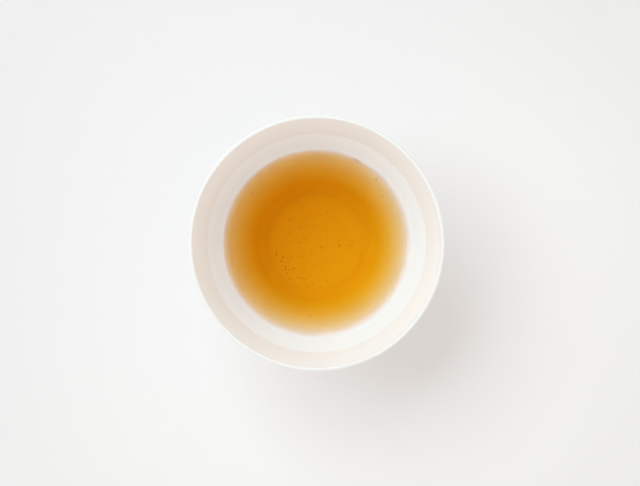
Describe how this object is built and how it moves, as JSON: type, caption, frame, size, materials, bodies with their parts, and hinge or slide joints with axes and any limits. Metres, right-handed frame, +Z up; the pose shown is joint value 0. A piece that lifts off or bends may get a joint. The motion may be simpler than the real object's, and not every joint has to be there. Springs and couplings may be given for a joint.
{
  "type": "cup of tea",
  "caption": "Handleless white porcelain tea cup with a foot ring, a conical body, a creased wall and a thin rounded lip, filled a little over halfway with clear amber tea.",
  "frame": {"origin": "centre of the foot ring's underside, on the cup's axis of revolution", "axes": "+Z up along the axis of revolution, out of the mouth; X and Y are any two level directions, as the cup and the tea are round"},
  "size_m": [0.09, 0.09, 0.0523],
  "materials": {
    "porcelain": "gloss",
    "tea": "gloss"
  },
  "bodies": {
    "root": {"cup": "porcelain", "tea": "tea"}
  },
  "joints": []
}
